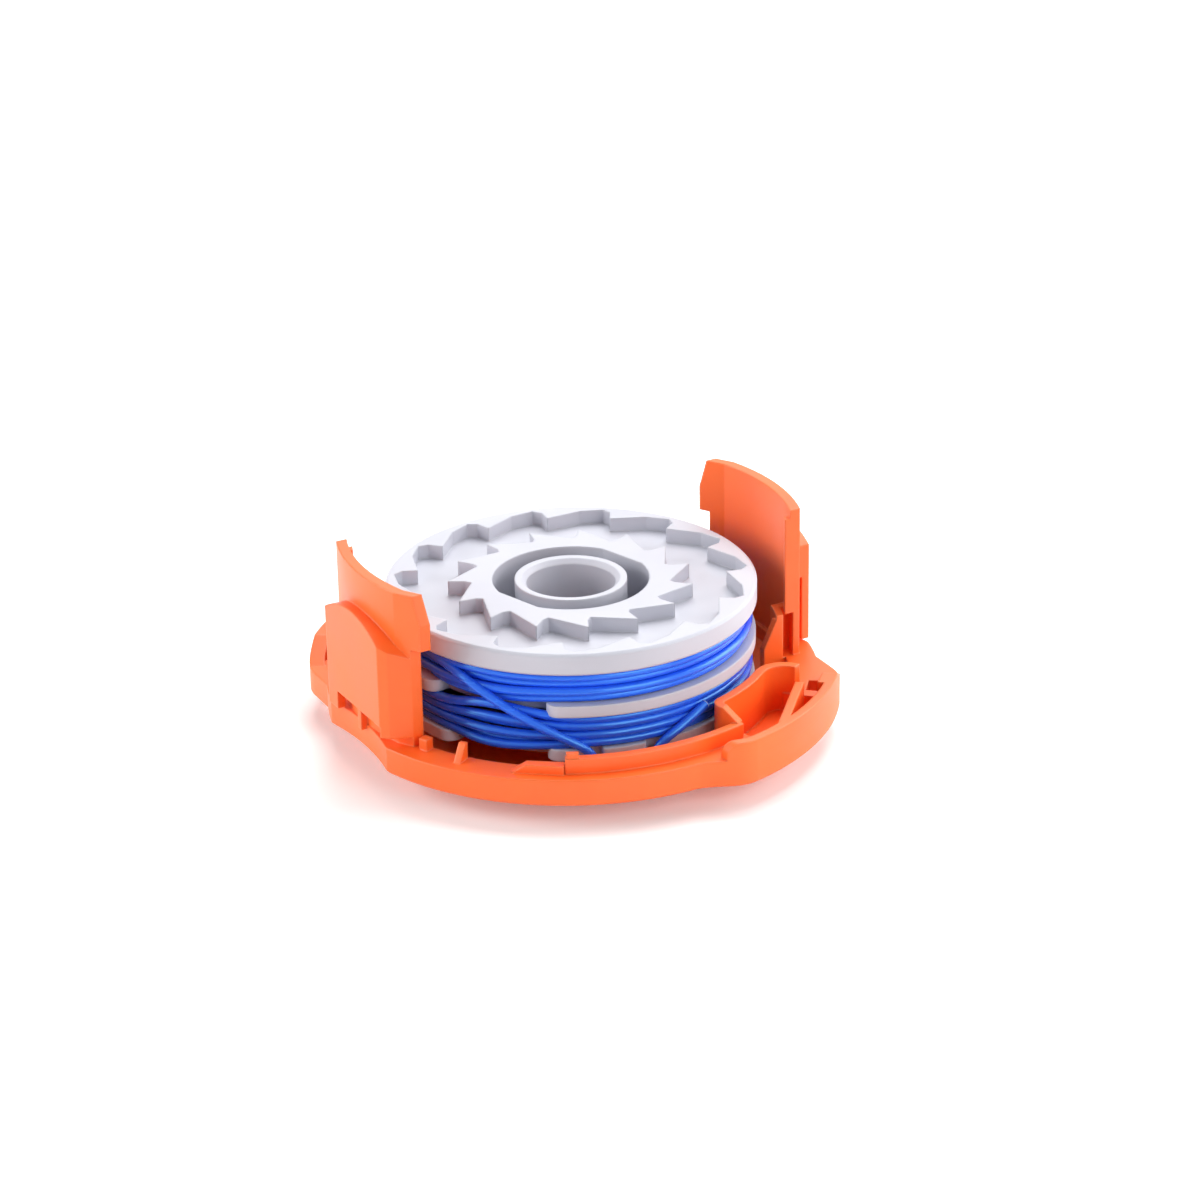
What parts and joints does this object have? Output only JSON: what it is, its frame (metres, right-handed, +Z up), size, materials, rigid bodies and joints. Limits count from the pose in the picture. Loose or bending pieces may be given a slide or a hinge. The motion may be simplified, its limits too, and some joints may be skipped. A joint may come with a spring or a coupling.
{
  "type": "trimmer line spool in its cover",
  "caption": "Line spool for a garden trimmer, wound with nylon line in two chambers, lying in a cover that clips on with two sprung latches and leads the line out through guides.",
  "frame": {"origin": "on the spool's turning axis, at the level of the flat underside that the cover stands on", "axes": "+Z up along the turning axis towards the open mouth, X through the two latches"},
  "size_m": [0.0814, 0.0882, 0.0353],
  "materials": {
    "cover_plastic": "orange moulded plastic, fine satin grain with a soft gloss",
    "spool_plastic": "pale cool grey moulded plastic, satin",
    "line_nylon": "blue extruded nylon, smooth and slightly translucent"
  },
  "bodies": {
    "cover": {"spool_cover": "cover_plastic"},
    "spool": {"spool": "spool_plastic", "upper_line": "line_nylon", "lower_line": "line_nylon"}
  },
  "joints": [
    {"name": "spool_turn", "type": "hinge", "parent": "cover", "child": "spool", "pos_m": [0, 0, 0.0067], "axis": [0, 0, 1], "continuous": true}
  ]
}
